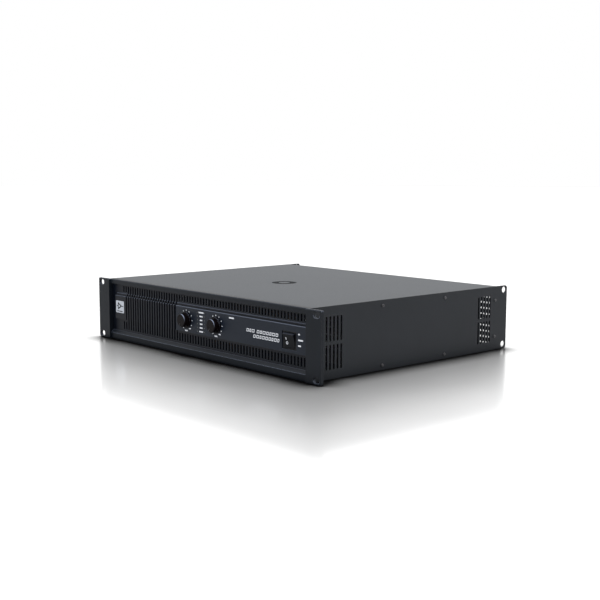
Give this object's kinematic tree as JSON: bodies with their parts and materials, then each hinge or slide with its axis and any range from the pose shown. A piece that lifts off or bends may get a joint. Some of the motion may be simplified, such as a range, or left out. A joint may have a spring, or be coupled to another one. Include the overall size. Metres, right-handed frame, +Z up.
{
  "type": "power amplifier",
  "caption": "Rack-mount power amplifier, two rack units high: slotted recessed front with gain knobs and rocker, vented steel case, fans and connectors at the rear",
  "frame": {"origin": "middle of the underside, halfway between the knob faces and the rear ends of the side panels", "axes": "+X to the right seen from the front, +Y from the front panel to the rear, +Z up"},
  "size_m": [0.4826, 0.3824, 0.0881],
  "materials": {
    "fascia_paint": "fine-texture powder coat",
    "grille_plastic": "moulded, fine grain",
    "plate_paint": "satin",
    "badge_white": "gloss",
    "lamp_lens": "clear lens, unlit",
    "knob_plastic": "satin moulded",
    "bright_steel": "zinc plated",
    "circuit_board": "solder mask",
    "rocker_gloss": "gloss",
    "black_plastic": "moulded",
    "side_paint": "fine-texture powder coat",
    "top_paint": "fine-texture powder coat",
    "rear_paint": "fine-texture powder coat",
    "emblem_dark": "satin",
    "winding": "taped copper winding",
    "pad_rubber": "matte",
    "standoff_brass": "machined",
    "capacitor_sleeve": "shrink sleeve",
    "epoxy_black": "moulded",
    "relay_case": "gloss",
    "sink_aluminium": "extruded, clear anodised",
    "fan_plastic": "moulded",
    "guard_wire": "bright plated wire",
    "screw_black": "black zinc",
    "latch_metal": "nickel plated",
    "speaker_blue": "moulded",
    "post_metal": "nickel plated",
    "post_red": "clear red",
    "post_black": "black",
    "button_white": "moulded",
    "ribbon_grey": "PVC",
    "wire_brown": "PVC"
  },
  "bodies": {
    "chassis": {"front_panel": "fascia_paint", "front_grille": "grille_plastic", "control_plate": "plate_paint", "badge": "badge_white", "led_lamps": "lamp_lens", "gain_pots": "bright_steel", "front_board": "circuit_board", "rocker_housing": "black_plastic", "side_panel_left": "side_paint", "side_panel_right": "side_paint", "top_cover": "top_paint", "bottom_plate": "side_paint", "rear_panel": "rear_paint", "case_screws": "bright_steel", "top_emblem": "emblem_dark", "transformer": "winding", "transformer_pads": "pad_rubber", "transformer_clamp": "bright_steel", "transformer_stud": "bright_steel", "supply_board": "circuit_board", "board_standoffs": "standoff_brass", "reservoir_capacitors": "capacitor_sleeve", "bridge_rectifiers": "epoxy_black", "output_relays": "relay_case", "heat_sink_left": "sink_aluminium", "heat_sink_right": "sink_aluminium", "output_transistors_left": "epoxy_black", "output_transistors_right": "epoxy_black", "amp_board_left": "circuit_board", "amp_board_right": "circuit_board", "fan_frame_left": "fan_plastic", "fan_frame_right": "fan_plastic", "fan_guards": "guard_wire", "rear_screws": "screw_black", "input_sockets": "black_plastic", "link_sockets": "black_plastic", "speaker_sockets": "speaker_blue", "binding_posts": "post_metal", "mains_inlet": "black_plastic", "breaker_body": "black_plastic", "slide_switches": "black_plastic", "input_board": "circuit_board", "signal_ribbon": "ribbon_grey", "mains_wiring": "wire_brown"},
    "gain_a": {"gain_knob_a": "knob_plastic", "gain_shaft_a": "bright_steel"},
    "gain_b": {"gain_knob_b": "knob_plastic", "gain_shaft_b": "bright_steel"},
    "rocker": {"power_rocker": "rocker_gloss"},
    "rotor_left": {"fan_impeller_left": "fan_plastic"},
    "rotor_right": {"fan_impeller_right": "fan_plastic"},
    "latch_a": {"latch_tab_a": "latch_metal"},
    "latch_b": {"latch_tab_b": "latch_metal"},
    "nut_a_pos": {"post_nut_a_pos": "post_red"},
    "nut_a_neg": {"post_nut_a_neg": "post_black"},
    "nut_b_pos": {"post_nut_b_pos": "post_red"},
    "nut_b_neg": {"post_nut_b_neg": "post_black"},
    "reset_button": {"breaker_button": "button_white"},
    "mode_slider": {"mode_lever": "button_white"},
    "lift_slider": {"lift_lever": "button_white"}
  },
  "joints": [
    {"name": "gain_a_turn", "type": "hinge", "parent": "chassis", "child": "gain_a", "pos_m": [-0.0262, -0.1848, 0.048], "axis": [0, 1, 0], "range_deg": [0, 300]},
    {"name": "gain_b_turn", "type": "hinge", "parent": "chassis", "child": "gain_b", "pos_m": [0.0387, -0.1848, 0.048], "axis": [0, 1, 0], "range_deg": [0, 300]},
    {"name": "power_rock", "type": "hinge", "parent": "chassis", "child": "rocker", "pos_m": [0.1815, -0.1788, 0.046], "axis": [-1, 0, 0], "range_deg": [0, 22]},
    {"name": "fan_left_spin", "type": "hinge", "parent": "chassis", "child": "rotor_left", "pos_m": [-0.143, 0.1552, 0.04405], "axis": [0, 1, 0], "continuous": true},
    {"name": "fan_right_spin", "type": "hinge", "parent": "chassis", "child": "rotor_right", "pos_m": [0.143, 0.1552, 0.04405], "axis": [0, 1, 0], "continuous": true},
    {"name": "latch_a_press", "type": "slide", "parent": "chassis", "child": "latch_a", "axis": [0, -1, 0], "range_m": [0, 0.0014], "stiffness_N_per_m": 400, "springref_m": -0.001},
    {"name": "latch_b_press", "type": "slide", "parent": "chassis", "child": "latch_b", "axis": [0, -1, 0], "range_m": [0, 0.0014], "stiffness_N_per_m": 400, "springref_m": -0.001},
    {"name": "nut_a_pos_turn", "type": "hinge", "parent": "chassis", "child": "nut_a_pos", "pos_m": [-0.0325, 0.1802, 0.062], "axis": [0, 1, 0], "range_deg": [0, 720]},
    {"name": "nut_a_neg_turn", "type": "hinge", "parent": "chassis", "child": "nut_a_neg", "pos_m": [-0.0515, 0.1802, 0.062], "axis": [0, 1, 0], "range_deg": [0, 720]},
    {"name": "nut_b_pos_turn", "type": "hinge", "parent": "chassis", "child": "nut_b_pos", "pos_m": [-0.0325, 0.1802, 0.025], "axis": [0, 1, 0], "range_deg": [0, 720]},
    {"name": "nut_b_neg_turn", "type": "hinge", "parent": "chassis", "child": "nut_b_neg", "pos_m": [-0.0515, 0.1802, 0.025], "axis": [0, 1, 0], "range_deg": [0, 720]},
    {"name": "reset_pop", "type": "slide", "parent": "chassis", "child": "reset_button", "axis": [0, 1, 0], "range_m": [0, 0.004]},
    {"name": "mode_slide", "type": "slide", "parent": "chassis", "child": "mode_slider", "axis": [0, 0, 1], "range_m": [0, 0.006]},
    {"name": "lift_slide", "type": "slide", "parent": "chassis", "child": "lift_slider", "axis": [0, 0, 1], "range_m": [0, 0.003]}
  ]
}
